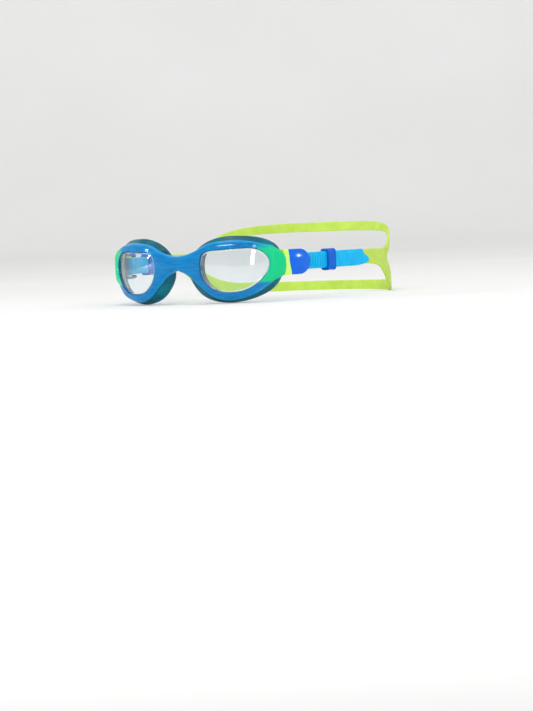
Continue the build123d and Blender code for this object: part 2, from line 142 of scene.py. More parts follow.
def resample(points: np.ndarray, count: int, closed: bool = False) -> np.ndarray:
    """Samples a polyline at even distances along it.

    Args:
        points: Corners of the polyline.
        count: Number of samples.
        closed: Whether the last corner joins the first.

    Returns:
        An array of count rows.
    """
    line = np.vstack([points, points[:1]]) if closed else points
    run = np.concatenate([[0], np.cumsum(np.linalg.norm(np.diff(line, axis=0), axis=1))])
    at = np.linspace(0, run[-1], count, endpoint=not closed)
    return np.stack([np.interp(at, run, line[:, i]) for i in range(line.shape[1])], axis=1)


def smoothstep(value: np.ndarray, low: float, high: float) -> np.ndarray:
    """Smooth ramp from 0 at low to 1 at high."""
    t = np.clip((value - low) / (high - low), 0, 1)
    return t * t * (3 - 2 * t)


def distance_to(points: np.ndarray, line: np.ndarray) -> np.ndarray:
    """Shortest distance from each point to a polyline, both in a plane.

    Args:
        points: Array whose last axis is the plane's two coordinates.
        line: Corners of the polyline.

    Returns:
        Distances, in the shape of the points without their last axis.
    """
    a, b = line[:-1], line[1:]
    ab = b - a
    flat = points.reshape(-1, 2)
    t = np.clip(((flat[:, None] - a) * ab).sum(2) / np.maximum((ab**2).sum(1), 1e-12), 0, 1)
    gap = flat[:, None] - (a + t[..., None] * ab)
    return np.sqrt((gap**2).sum(2).min(1)).reshape(points.shape[:-1])


def rounding(distance: np.ndarray, radius: np.ndarray | float) -> np.ndarray:
    """How far a surface drops near an edge that is rounded with a radius: a quarter circle."""
    d = np.clip(distance, 0, radius)
    return radius - np.sqrt(np.maximum(radius**2 - (radius - d) ** 2, 0))


# ---- the rail


@dataclass(frozen=True)
class Rail:
    """Outer plan curve of the goggles: lens wrap, temple turn, straight strap run, side arc and back arc.

    Headings are in degrees from +Y, radii and lengths in millimetres.
    """

    wrap_radius: float = 73.0
    wrap_heading: float = 44.0
    temple_radius: float = 22.0
    strap_heading: float = 10.0
    straight: float = 79.0
    side_radius: float = 80.0
    side_heading: float = -40.0
    middle_y: float = 99.456
    straight_to: float = 50.0
    square_from: float = 55.5
    table: dict[str, np.ndarray] = field(default_factory=dict)

    def __post_init__(self) -> None:
        """Tabulates position and heading along the left half, from the bridge to the back."""
        headings, steps = [], []
        samples_per_mm = 4
        arcs = [
            (90.0, self.wrap_heading, self.wrap_radius),
            (self.wrap_heading, self.strap_heading, self.temple_radius),
            (self.strap_heading, self.strap_heading, None),
            (self.strap_heading, self.side_heading, self.side_radius),
        ]
        for start, end, radius in arcs:
            length = self.straight if radius is None else np.radians(start - end) * radius
            n = max(int(length * samples_per_mm), 2)
            mid = (np.arange(n) + 0.5) / n
            headings.append(start + (end - start) * mid)
            steps.append(np.full(n, length / n))
        h, ds = np.concatenate(headings), np.concatenate(steps)
        x = np.cumsum(np.sin(np.radians(h)) * ds)
        back_radius = x[-1] / np.cos(np.radians(self.side_heading))
        length = np.radians(self.side_heading + 90.0) * back_radius
        n = int(length * samples_per_mm)
        mid = (np.arange(n) + 0.5) / n
        h = np.concatenate([h, self.side_heading + (-90.0 - self.side_heading) * mid])
        ds = np.concatenate([ds, np.full(n, length / n)])
        rad = np.radians(h)
        self.table["s"] = np.concatenate([[0], np.cumsum(ds)])
        self.table["x"] = np.concatenate([[0], np.cumsum(np.sin(rad) * ds)])
        self.table["y"] = np.concatenate([[0], np.cumsum(np.cos(rad) * ds)])
        self.table["h"] = np.concatenate([[90.0], (h[:-1] + h[1:]) / 2, [-90.0]])

    @property
    def run_start(self) -> float:
        """Distance along the rail at which the straight strap run begins."""
        wrap = radians(90.0 - self.wrap_heading) * self.wrap_radius
        return wrap + radians(self.wrap_heading - self.strap_heading) * self.temple_radius

    @property
    def length(self) -> float:
        """Distance from the bridge to the middle of the back."""
        return float(self.table["s"][-1])

    def at(self, s: np.ndarray, inset: np.ndarray, z: np.ndarray) -> np.ndarray:
        """Points beside the rail, on its own normal.

        Args:
            s: Distance along the rail from the bridge, negative on the right half.
            inset: How far the points are moved in from the rail.
            z: Height.

        Returns:
            Points in the row frame, in millimetres.
        """
        s, inset, z = np.broadcast_arrays(np.asarray(s, float), inset, z)
        along, sign = np.abs(s), np.where(s < 0, -1.0, 1.0)
        over = np.maximum(along - self.length, 0)
        sign = np.where(over > 0, -sign, sign)
        along = np.where(over > 0, self.length - over, along)
        t = self.table
        heading = np.radians(np.interp(along, t["s"], t["h"]))
        x = np.interp(along, t["s"], t["x"]) - inset * np.cos(heading)
        y = np.interp(along, t["s"], t["y"]) + inset * np.sin(heading)
        return np.stack([sign * x, y - self.middle_y, z], axis=-1)

    def s_of_x(self, x: np.ndarray) -> np.ndarray:
        """Distance along the rail of the front point at a given X, on the left half."""
        front = self.table["s"] <= self.run_start + self.straight
        return np.interp(x, self.table["x"][front], self.table["s"][front])

    def behind(self, s: np.ndarray, inset: np.ndarray, z: np.ndarray) -> np.ndarray:
        """Points straight behind the front point at s, along Y, where a layer at an inset passes.

        On the wrap the layer is a circle about the wrap's centre, and past it a circle about the temple's
        centre. Deeper than the frame's thickness the points go on straight back. Near the temple's end,
        where a layer runs along Y itself, the points move over to the layer's own normal.

        Args:
            s: Distance along the rail, negative on the right half.
            inset: Depth of the layer under the rail.
            z: Height.

        Returns:
            Points in the row frame, in millimetres.
        """
        square = self.at(s, inset, z)
        front = self.at(s, 0.0, z)
        x, depth = np.abs(front[..., 0]), np.minimum(inset, FRAME_THICKNESS)
        turn = np.cos(np.radians(self.wrap_heading))
        off = self.wrap_radius - self.temple_radius
        centre = (off * turn, self.wrap_radius - off * np.sin(np.radians(self.wrap_heading)))
        on_wrap = self.wrap_radius - np.sqrt(np.maximum((self.wrap_radius - depth) ** 2 - x**2, 0))
        on_temple = centre[1] - np.sqrt(np.maximum((self.temple_radius - depth) ** 2 - (x - centre[0]) ** 2, 0))
        y = np.where(x < turn * (self.wrap_radius - depth), on_wrap, on_temple) + inset - depth - self.middle_y
        straight = np.stack([front[..., 0], y, front[..., 2]], axis=-1)
        share = smoothstep(x, self.straight_to, self.square_from)[..., None]
        return straight * (1 - share) + square * share

    def s_of_y(self, y: np.ndarray) -> np.ndarray:
        """Distance along the rail of the point at a given Y from the bridge, on the left half."""
        return np.interp(y, self.table["y"], self.table["s"])


RAIL = Rail()
DATUM_Z = 23.5
STRAP_Z = 22.4

# Front outlines as (X, height over DATUM_Z) of the wearer's left half.
LENS_OPENING = [
    (15.4, 0.5), (17.1, 5.8), (24.0, 7.5), (37.8, 8.15), (46.6, 6.7), (50.9, -0.2),
    (47.8, -9.0), (41.0, -15.0), (32.0, -17.0), (22.6, -14.9), (17.0, -9.2),
]
FRAME_TOP = [
    (0.0, 4.9), (5.0, 5.5), (10.6, 7.4), (19.5, 11.6), (28.9, 13.1), (38.0, 12.9), (47.6, 10.6), (55.2, 6.9),
]
FRAME_END = [(57.0, 4.0), (57.55, -1.2), (57.35, -5.5)]
FRAME_BOTTOM = [
    (56.6, -8.7), (51.8, -11.6), (43.6, -18.2), (36.7, -20.9), (28.0, -21.7), (21.6, -19.5),
    (14.1, -13.2), (6.0, -6.2), (0.0, -3.4),
]
SKIRT = [
    (4.4, -3.0), (8.2, 6.6), (15.0, 12.2), (25.8, 15.5), (35.1, 15.6), (45.0, 13.9), (51.2, 9.6), (53.6, 1.0),
    (53.4, -8.0), (50.6, -14.6), (43.9, -19.9), (34.0, -23.0), (24.2, -23.1), (15.0, -20.2), (8.0, -13.6),
]
LENS_MIDDLE = np.array([33.0, -3.5])


# ---- meshes


@dataclass
class Grid:
    """A surface given as a grid of points, which may close in either direction."""

    points: np.ndarray
    wrap_rows: bool = False
    wrap_columns: bool = False
    keep: np.ndarray | None = None
    caps: tuple[bool, bool] = (False, False)
    layers: dict[str, np.ndarray] = field(default_factory=dict)

    def faces(self) -> np.ndarray:
        """Joins each point with its neighbours in the next column and row.

        Returns:
            Quads of the grid, as four point numbers each.
        """
        rows, cols = self.points.shape[:2]
        number = np.arange(rows * cols).reshape(rows, cols)
        if self.wrap_rows:
            number = np.vstack([number, number[:1]])
        if self.wrap_columns:
            number = np.hstack([number, number[:, :1]])
        quads = np.stack([number[:-1, :-1], number[:-1, 1:], number[1:, 1:], number[1:, :-1]], axis=-1)
        return quads.reshape(-1, 4) if self.keep is None else quads[self.keep]

    def build(self, name: str, weld: bool = False, mirror: bool = False) -> bpy.types.Object:
        """Makes the mesh object, in metres, with its normals outward and smooth shading.

        Args:
            name: Name of the object and its mesh.
            weld: Joins points that lie on each other, such as those of a pole or a middle seam.
            mirror: Adds the mirror image in the plane X = 0.

        Returns:
            The new object, linked to the scene.
        """
        points = self.points.reshape(-1, 3) * MM
        quads = self.faces()
        layers = {key: np.asarray(value, np.float32).reshape(-1) for key, value in self.layers.items()}
        rows, cols = self.points.shape[:2]
        both = (np.arange(cols)[::-1], np.arange(cols) + (rows - 1) * cols)
        ends = [end for end, wanted in zip(both, self.caps) if wanted]
        if mirror:
            quads = np.vstack([quads, quads[:, ::-1] + len(points)])
            points = np.vstack([points, points * [-1, 1, 1]])
            layers = {key: np.concatenate([value, value]) for key, value in layers.items()}
        mesh = bpy.data.meshes.new(name)
        loops = np.concatenate([quads.reshape(-1), *ends]).astype(np.int32)
        sizes = np.concatenate([np.full(len(quads), 4), [len(end) for end in ends]]).astype(np.int32)
        mesh.vertices.add(len(points))
        mesh.vertices.foreach_set("co", points.astype(np.float32).reshape(-1))
        mesh.loops.add(len(loops))
        mesh.loops.foreach_set("vertex_index", loops)
        mesh.polygons.add(len(sizes))
        mesh.polygons.foreach_set("loop_start", np.concatenate([[0], np.cumsum(sizes)[:-1]]).astype(np.int32))
        mesh.update(calc_edges=True)
        for key, value in layers.items():
            mesh.attributes.new(key, "FLOAT", "POINT").data.foreach_set("value", value)
        obj = bpy.data.objects.new(name, mesh)
        bpy.context.scene.collection.objects.link(obj)
        tidy_mesh(obj, weld)
        return obj


def tidy_mesh(obj: bpy.types.Object, weld: bool) -> None:
    """Turns normals outward and shades smooth, with edges over 50 degrees left sharp.

    Args:
        obj: Mesh object to work on.
        weld: Joins points that lie on each other first.
    """
    bm = bmesh.new()
    bm.from_mesh(obj.data)
    if weld:
        bmesh.ops.remove_doubles(bm, verts=bm.verts, dist=2e-6)
        bmesh.ops.dissolve_degenerate(bm, edges=bm.edges, dist=1e-7)
    bmesh.ops.recalc_face_normals(bm, faces=bm.faces)
    bm.to_mesh(obj.data)
    bm.free()
    obj.data.shade_smooth()
    obj.data.set_sharp_from_angle(angle=radians(50))


# ---- finishes


def to_linear(code: str) -> tuple[float, float, float, float]:
    """Turns sRGB into linear light, by the standard's own curve.

    Args:
        code: Hex code such as #FFFFFF.

    Returns:
        Red, green, blue and an alpha of 1.
    """
    srgb = np.array([int(code[i : i + 2], 16) for i in (1, 3, 5)]) / 255
    linear = np.where(srgb <= 0.04045, srgb / 12.92, ((srgb + 0.055) / 1.055) ** 2.4)
    return (*linear.tolist(), 1.0)


@dataclass(frozen=True)
class Finish:
    """A material with a faint mottle, a roughness that wanders and a fine bump, in real sizes."""

    name: str
    color: str
    shade: str
    roughness: float
    ior: float = 1.5
    transmission: float = 0.0
    scatter: float = 0.0
    scatter_mm: float = 1.0
    metallic: float = 0.0
    mottle_mm: float = 6.0
    grain_mm: float = 0.25
    grain: float = 0.02
    specular: float = 0.5
    tints: tuple[tuple[str, str], ...] = ()
    streak: tuple[float, float, float] = (1.0, 1.0, 1.0)

    def build(self) -> bpy.types.Material:
        """Mixes the two colours by a mottle, lays the tints over it, and adds wandering gloss and bump.

        Returns:
            The node material.
        """
        material = bpy.data.materials.new(self.name)
        material.use_nodes = True
        tree = material.node_tree
        shader = tree.nodes["Principled BSDF"]
        link = tree.links.new
        place = add_node(tree, "ShaderNodeTexCoord")
        mapping = add_node(tree, "ShaderNodeMapping", Scale=self.streak)
        link(place.outputs["Object"], mapping.inputs["Vector"])
        mottle = add_node(tree, "ShaderNodeTexNoise", Scale=1000 / self.mottle_mm, Detail=3.0, Roughness=0.5)
        grain = add_node(tree, "ShaderNodeTexNoise", Scale=1000 / self.grain_mm, Detail=2.0, Roughness=0.6)
        link(mapping.outputs["Vector"], mottle.inputs["Vector"])
        link(place.outputs["Object"], grain.inputs["Vector"])
        mix = add_node(tree, "ShaderNodeMix", data_type="RGBA")
        mix.inputs[6].default_value = to_linear(self.color)
        mix.inputs[7].default_value = to_linear(self.shade)
        link(self.ranged(tree, mottle, (0.35, 0.65, 0.0, 1.0)), mix.inputs[0])
        color = mix.outputs[2]
        for layer_name, tint in self.tints:
            layer = add_node(tree, "ShaderNodeAttribute")
            layer.attribute_name = layer_name
            over = add_node(tree, "ShaderNodeMix", data_type="RGBA")
            over.inputs[7].default_value = to_linear(tint)
            link(layer.outputs["Fac"], over.inputs[0])
            link(color, over.inputs[6])
            color = over.outputs[2]
        link(color, shader.inputs["Base Color"])
        gloss = self.ranged(tree, mottle, (0.3, 0.7, self.roughness * 0.85, self.roughness * 1.15))
        link(gloss, shader.inputs["Roughness"])
        bump = add_node(tree, "ShaderNodeBump", Strength=self.grain, Distance=0.00005)
        link(grain.outputs["Fac"], bump.inputs["Height"])
        link(bump.outputs["Normal"], shader.inputs["Normal"])
        constant = {
            "IOR": self.ior, "Transmission Weight": self.transmission, "Specular IOR Level": self.specular,
            "Metallic": self.metallic, "Subsurface Weight": self.scatter,
            "Subsurface Scale": self.scatter_mm * MM,
        }
        for key, value in constant.items():
            shader.inputs[key].default_value = value
        shader.inputs["Subsurface Radius"].default_value = (1.0, 1.0, 1.0)
        return material

    @staticmethod
    def ranged(tree: bpy.types.NodeTree, noise: bpy.types.Node, span: tuple[float, ...]) -> bpy.types.NodeSocket:
        """Spreads a noise from one range of values to another.

        Args:
            tree: Node tree of the material.
            noise: Noise node to read.
            span: Lowest and highest value read, then lowest and highest value given.

        Returns:
            The output that holds the spread value.
        """
        node = add_node(tree, "ShaderNodeMapRange")
        for socket, value in zip(node.inputs[1:5], span):
            socket.default_value = value
        tree.links.new(noise.outputs["Fac"], node.inputs[0])
        return node.outputs[0]


def add_node(tree: bpy.types.NodeTree, kind: str, data_type: str | None = None, **inputs) -> bpy.types.Node:
    """Adds a node and sets its inputs by name.

    Args:
        tree: Node tree of the material.
        kind: Type of the node.
        data_type: Kind of value the node works on, where it has one.
        **inputs: Values of its inputs.

    Returns:
        The new node.
    """
    node = tree.nodes.new(kind)
    if data_type:
        node.data_type = data_type
    for key, value in inputs.items():
        node.inputs[key].default_value = value
    return node


# Injection-moulded thermoplastic elastomer: glossy and translucent, with the green that a lime core gives
# it from beneath, painted shade on the step round each lens and a painted highlight along its thin outer edge.
FRAME_TPE = Finish(
    "thermoplastic_elastomer_blue", "#0088C4", "#0074B4", 0.09, 1.5, 0.15, 0.5, 2.5, specular=0.2, mottle_mm=2.2,
    grain=0.01, streak=(0.18, 1.0, 1.5),
    tints=(("painted_edge_light", "#0A9BDE"), ("step", "#08507E"), ("over_yoke", "#00D08A")),
)
# Moulded polycarbonate: clear, hard and mirror-smooth.
POLYCARBONATE = Finish("clear_polycarbonate", "#F1F8FA", "#EAF3F6", 0.02, 1.585, 1.0, mottle_mm=20.0, grain=0.002)
# Moulded silicone rubber: soft sheen, light comes through where it is thin, and a painted rim light brightens its
# lip.
SEAL_SILICONE = Finish(
    "teal_silicone", "#007A88", "#005A6C", 0.22, 1.41, 0.3, 0.45, 2.0, specular=0.25, mottle_mm=9.0,
    tints=(("painted_edge_light", "#3FA3B4"),),
)
# Moulded polypropylene: waxy and a little cloudy.
LIME_PLASTIC = Finish("lime_polypropylene", "#C6F26C", "#BDEB5E", 0.38, 1.49, scatter=0.15, scatter_mm=0.8)
# Drawn stainless steel rod: grey, with its gloss pulled out along the draw.
STEEL = Finish("stainless_steel_304", "#A8AAAC", "#97999B", 0.3, metallic=1.0, streak=(1.0, 1.0, 8.0))
# ABS moulded in a polished tool: opaque and glossy.
COBALT = Finish("cobalt_abs", "#0064DA", "#005ED2", 0.13, 1.54, specular=0.12)
# Moulded silicone rubber, satin, with painted shade darkening the grooves between its ribs.
CYAN_SILICONE = Finish(
    "cyan_silicone", "#00B2E6", "#00A9DE", 0.42, 1.41, scatter=0.3, scatter_mm=1.0, specular=0.15,
    tints=(("painted_groove_shade", "#0096CC"),),
)
# Moulded silicone rubber, a harder and smoother grade.
KEEPER_SILICONE = Finish(
    "dark_blue_silicone", "#0060C8", "#0057BC", 0.33, 1.41, scatter=0.2, scatter_mm=0.8, specular=0.15,
)
# Moulded silicone rubber with a matt skin.
LIME_SILICONE = Finish(
    "lime_silicone", "#B9D65A", "#B0CE50", 0.45, 1.41, scatter=0.3, scatter_mm=1.0, specular=0.15,
)


# ---- front pieces


def front_outline(points: np.ndarray) -> np.ndarray:
    """Turns a front outline of (X, Z) into (distance along the rail, Z)."""
    return np.stack([RAIL.s_of_x(points[:, 0]), points[:, 1]], axis=1)


def radius_at(loop: np.ndarray, middle: np.ndarray, angles: np.ndarray) -> np.ndarray:
    """Distance of a star-shaped loop from its middle.

    Args:
        loop: Points of the loop.
        middle: Point that sees the whole loop.
        angles: Directions to measure in, in radians.

    Returns:
        One distance for each angle.
    """
    rel = loop - middle
    a = np.arctan2(rel[:, 1], rel[:, 0])
    order = np.argsort(a)
    a, r = a[order], np.linalg.norm(rel, axis=1)[order]
    a, r = np.concatenate([a - 2 * np.pi, a, a + 2 * np.pi]), np.tile(r, 3)
    return np.interp(angles, a, r)


@dataclass
class FrameMoulding:
    """Soft frame: two rims and a bridge with rounded edges, thicker than the lenses it holds."""

    thickness: float = FRAME_THICKNESS
    back_round: float = 0.3
    outer_round: float = 1.5
    inner_round: float = 0.6
    crown: float = 1.1
    crown_reach: float = 4.2
    temple_round: float = 1.0
    temple_swell: float = 1.1
    columns: int = 300
    seam: int = 12
    face_rows: int = 22
    wall_rows: int = 4

    def build(self) -> bpy.types.Object:
        """Builds one half round its lens, drops its wall on the middle plane, and welds on the mirror image.

        Returns:
            The whole frame, with attributes for its green ends, the painted shade at the lens step and the
            painted highlight along its outer edge.
        """
        outline = front_outline(open_spline(FRAME_TOP + FRAME_END + FRAME_BOTTOM))
        outer = resample(outline, self.columns)
        bridge = np.linspace(outer[-1], outer[0], self.seam + 2)[1:-1]
        outer = np.vstack([outer, bridge])
        middle = np.array([RAIL.s_of_x(LENS_MIDDLE[0]), LENS_MIDDLE[1]])
        rel = outer - middle
        angles = np.arctan2(rel[:, 1], rel[:, 0])
        hole = front_outline(closed_spline(LENS_OPENING, 400))
        inner = middle + radius_at(hole, middle, angles)[:, None] * np.stack([np.cos(angles), np.sin(angles)], 1)
        t = 0.5 - 0.5 * np.cos(np.linspace(0, np.pi, self.face_rows))
        face = inner[None] * (1 - t[:, None, None]) + outer[None] * t[:, None, None]
        to_outer = distance_to(face, outline)
        to_inner = distance_to(face, np.vstack([hole, hole[:1]]))
        slim = smoothstep(face[..., 0], *RAIL.s_of_x(np.array([38.0, 45.0])))
        edge = self.outer_round + (self.temple_round - self.outer_round) * slim
        front = rounding(to_outer, edge) + rounding(to_inner, self.inner_round)
        crown = self.crown * (1 - 0.85 * slim)
        front += crown * np.clip(1 - to_outer / self.crown_reach, 0, 1) ** 2
        reach = RAIL.s_of_x(np.array([49.5, 53.5, 58.0]))
        swell = smoothstep(face[..., 0], *reach[:2]) * (1 - 0.6 * smoothstep(face[..., 0], *reach[1:]))
        swell *= np.sqrt(np.clip(1 - ((face[..., 1] + 0.9) / 10.5) ** 2, 0, 1)) * smoothstep(to_outer, -0.5, 2.5)
        front -= self.temple_swell * swell * smoothstep(to_inner, 0.0, 3.0)
        down = np.linspace(0, 1, self.wall_rows + 2)[1:-1, None]
        outer_wall = front[-1] + (self.thickness - self.back_round - front[-1]) * down
        inner_wall = self.thickness + (front[0] - self.thickness) * down
        back = np.full_like(front, self.thickness)
        rows = self.wall_rows
        plan = np.concatenate([face, np.repeat(face[-1:], rows, 0), face[::-1], np.repeat(face[:1], rows, 0)])
        inset = np.concatenate([front, outer_wall, back, inner_wall])
        points = RAIL.behind(plan[..., 0], inset, plan[..., 1] + DATUM_Z)
        on_seam = np.abs(plan[..., 0]) < 1e-6
        points[on_seam, 0] = 0.0
        nxt = np.roll(on_seam, -1, axis=0)
        quad_on_seam = on_seam & nxt & np.roll(on_seam, -1, axis=1) & np.roll(nxt, -1, axis=1)
        z = plan[..., 1]
        soft = 0.5 + 2.5 * smoothstep(z, -6.0, 6.0)
        yoke = np.clip((plan[..., 0] - RAIL.s_of_x(44.5)) / soft, 0, 1)
        yoke *= smoothstep(z, -12.3, -11.5) * (1 - smoothstep(z, 7.0, 11.0))
        wall = np.zeros((rows, len(angles)))
        gap_in = np.concatenate([to_inner, np.repeat(to_inner[-1:], rows, 0), to_inner[::-1], wall])
        gap_out = np.concatenate([to_outer, wall, to_outer[::-1], np.repeat(to_outer[:1], rows, 0)])
        layers = {
            "over_yoke": yoke * smoothstep(gap_in, 0.2, 1.2) * 0.97,
            # Painted shade: darker where the rim steps down to the lens opening.
            "step": 0.8 * (1 - smoothstep(gap_in, 0.1, 0.9)),
            # Painted highlight: paler along the frame's outer edge.
            "painted_edge_light": 0.7 * (1 - smoothstep(gap_out, 0.2, 1.3)),
        }
        grid = Grid(points, wrap_rows=True, wrap_columns=True, keep=~quad_on_seam, layers=layers)
        return grid.build("frame_moulding", weld=True, mirror=True)


@dataclass
class Lens:
    """Curved clear window, with the flange and wall that the frame and the face seal hold."""

    side: Side
    front: float = 0.9
    window: float = 1.4
    bulge: float = 0.45
    flange: float = 1.2
    flange_front: float = 2.1
    wall_back: float = 6.2
    bevel: float = 0.15
    columns: int = 200

    def build(self) -> bpy.types.Object:
        """Sweeps the lens's section, from the middle of its front to the middle of its back, round its outline.

        Each point of the section is a share of the way to the outline, a distance added to it, and a depth.

        Returns:
            The lens, closed at the middle of its front and its back.
        """
        loop = front_outline(closed_spline(LENS_OPENING, self.columns))
        middle = np.array([RAIL.s_of_x(LENS_MIDDLE[0]), LENS_MIDDLE[1]])
        rel = loop - middle
        reach = np.linalg.norm(rel, axis=1)
        unit = rel / reach[:, None]
        back = self.front + self.window
        fan = np.linspace(0.0, 1.0, 16)
        bevel, flange, step, rear = self.bevel, self.flange, self.flange_front, self.wall_back
        section = [(f, -0.25 if f == 1 else 0.0, self.front) for f in fan]
        section += [(1, -0.06, self.front + bevel), (1, -0.06, step), (1, flange - bevel, step)]
        section += [(1, flange, step + bevel), (1, flange, rear - bevel), (1, flange - bevel, rear)]
        section += [(1, 0.35, rear), (1, 0.2, rear - bevel), (1, 0.2, back + 0.2), (1, 0.0, back)]
        section += [(f, 0.0, back) for f in fan[-2::-1]]
        rows = np.array(section)
        plan = middle + unit[None] * (reach[None, :, None] * rows[:, 0, None, None] + rows[:, 1, None, None])
        dome = self.bulge * np.clip(1 - rows[:, 0] ** 2, 0, 1) ** 1.5
        depth = np.broadcast_to((rows[:, 2] - dome)[:, None], plan.shape[:2])
        points = RAIL.behind(plan[..., 0] * self.side.value, depth, plan[..., 1] + DATUM_Z)
        return Grid(points, wrap_columns=True).build(f"lens_{self.side.word}_window", weld=True)


@dataclass
class FaceSeal:
    """Soft seal: a wall from the back of the rim that flares into a rolled lip against the face."""

    side: Side
    columns: int = 220
    rows_between: int = 6
    nose_tip: float = 3.5
    nose_slope: float = 0.83
    nose_soft: float = 0.6

    def ring(self, share: float, growth: float, depth: float) -> np.ndarray:
        """Ring between the lens opening and the skirt outline, at a depth behind the wrap.

        Args:
            share: 0 on the lens opening, 1 on the skirt's outline.
            growth: Distance added outwards, in millimetres.
            depth: Distance behind the wrap along Y.

        Returns:
            Points of the ring on the left side.
        """
        angles = np.linspace(-np.pi, np.pi, self.columns, endpoint=False)
        hole, skirt = closed_spline(LENS_OPENING, 600), closed_spline(SKIRT, 600)
        near, far = radius_at(hole, LENS_MIDDLE, angles), radius_at(skirt, LENS_MIDDLE, angles)
        r = near * (1 - share) + far * share + growth
        x = LENS_MIDDLE[0] + r * np.cos(angles)
        z = LENS_MIDDLE[1] + r * np.sin(angles)
        y = RAIL.wrap_radius - np.sqrt(RAIL.wrap_radius**2 - x**2) + depth
        limit = (y - self.nose_tip) * self.nose_slope
        soft = self.nose_soft
        x = np.where(x < limit + soft, limit + soft * np.exp((x - limit - soft) / soft), x)
        return np.stack([x, y - RAIL.middle_y, z + DATUM_Z], axis=1)

    def build(self) -> bpy.types.Object:
        """Passes a closed smooth section through rings, from the rim's back out to the lip and in again.

        Returns:
            The seal, with an attribute for the painted rim light on its lip.
        """
        sections = [
            (0.0, 1.35, 3.7), (0.0, 2.7, 3.5), (0.30, 2.6, 4.5), (0.62, 1.4, 5.9), (0.88, 0.4, 7.1),
            (1.0, -0.1, 8.1), (1.0, -0.2, 9.2), (0.93, 0.0, 9.8), (0.6, 0.0, 9.9), (0.25, 0.2, 9.6),
            (0.08, 0.5, 9.0), (0.05, 1.0, 7.8), (0.0, 1.4, 6.2),
        ]
        rings = np.stack([self.ring(*section) for section in sections])
        t = np.linspace(0, 1, self.rows_between, endpoint=False)[:, None, None]
        rows = []
        for i in range(len(rings)):
            p0, p1, p2, p3 = (rings[(i + k) % len(rings)] for k in (-1, 0, 1, 2))
            rows.append(hermite(p1, p2, (p2 - p0) * 0.45, (p3 - p1) * 0.45, t))
        points = np.concatenate(rows)
        points[..., 0] *= self.side.value
        turn = np.arange(len(points)) / self.rows_between
        # Painted rim light: a paler band round the rolled lip.
        lip = np.exp(-(((turn - 6.3) / 1.1) ** 2))[:, None] * np.ones(self.columns)
        grid = Grid(points, wrap_rows=True, wrap_columns=True, layers={"painted_edge_light": 0.8 * lip})
        return grid.build(f"face_seal_{self.side.word}_skirt")


# ---- strap


def band_section(low: np.ndarray, high: np.ndarray, outer: np.ndarray, inner: np.ndarray,
                 radius: float = 0.45, steps: int = 5, face: int = 6) -> tuple[np.ndarray, np.ndarray]:
    """Rounded rectangular section of a flat band.

    Args:
        low: Bottom edge's height at each station.
        high: Top edge's height at each station.
        outer: Inset of the outer face at each station.
        inner: Inset of the inner face at each station.
        radius: Radius of the corners.
        steps: Points on each corner.
        face: Points across each wide face, between the corners.

    Returns:
        Insets and heights, each with one row per station and one column per point of the section.
    """
    r = np.minimum(np.minimum(radius, (inner - outer) / 2 * 0.98), (high - low) / 2 * 0.98)[:, None]
    quarter = np.linspace(0, np.pi / 2, steps)[None]
    low, high, outer, inner = (v[:, None] for v in (low, high, outer, inner))
    t = np.linspace(0, 1, face + 2)[None, 1:-1]
    sin, cos = np.sin(quarter), np.cos(quarter)
    insets = [
        outer + r * (1 - sin), outer + 0 * t, outer + r * (1 - cos),
        inner - r * (1 - sin), inner + 0 * t, inner - r * (1 - cos),
    ]
    heights = [
        low + r * (1 - cos), low + r + (high - low - 2 * r) * t, high - r * (1 - sin),
        high - r * (1 - cos), high - r - (high - low - 2 * r) * t, low + r * (1 - sin),
    ]
    return np.hstack(insets), np.hstack(heights)


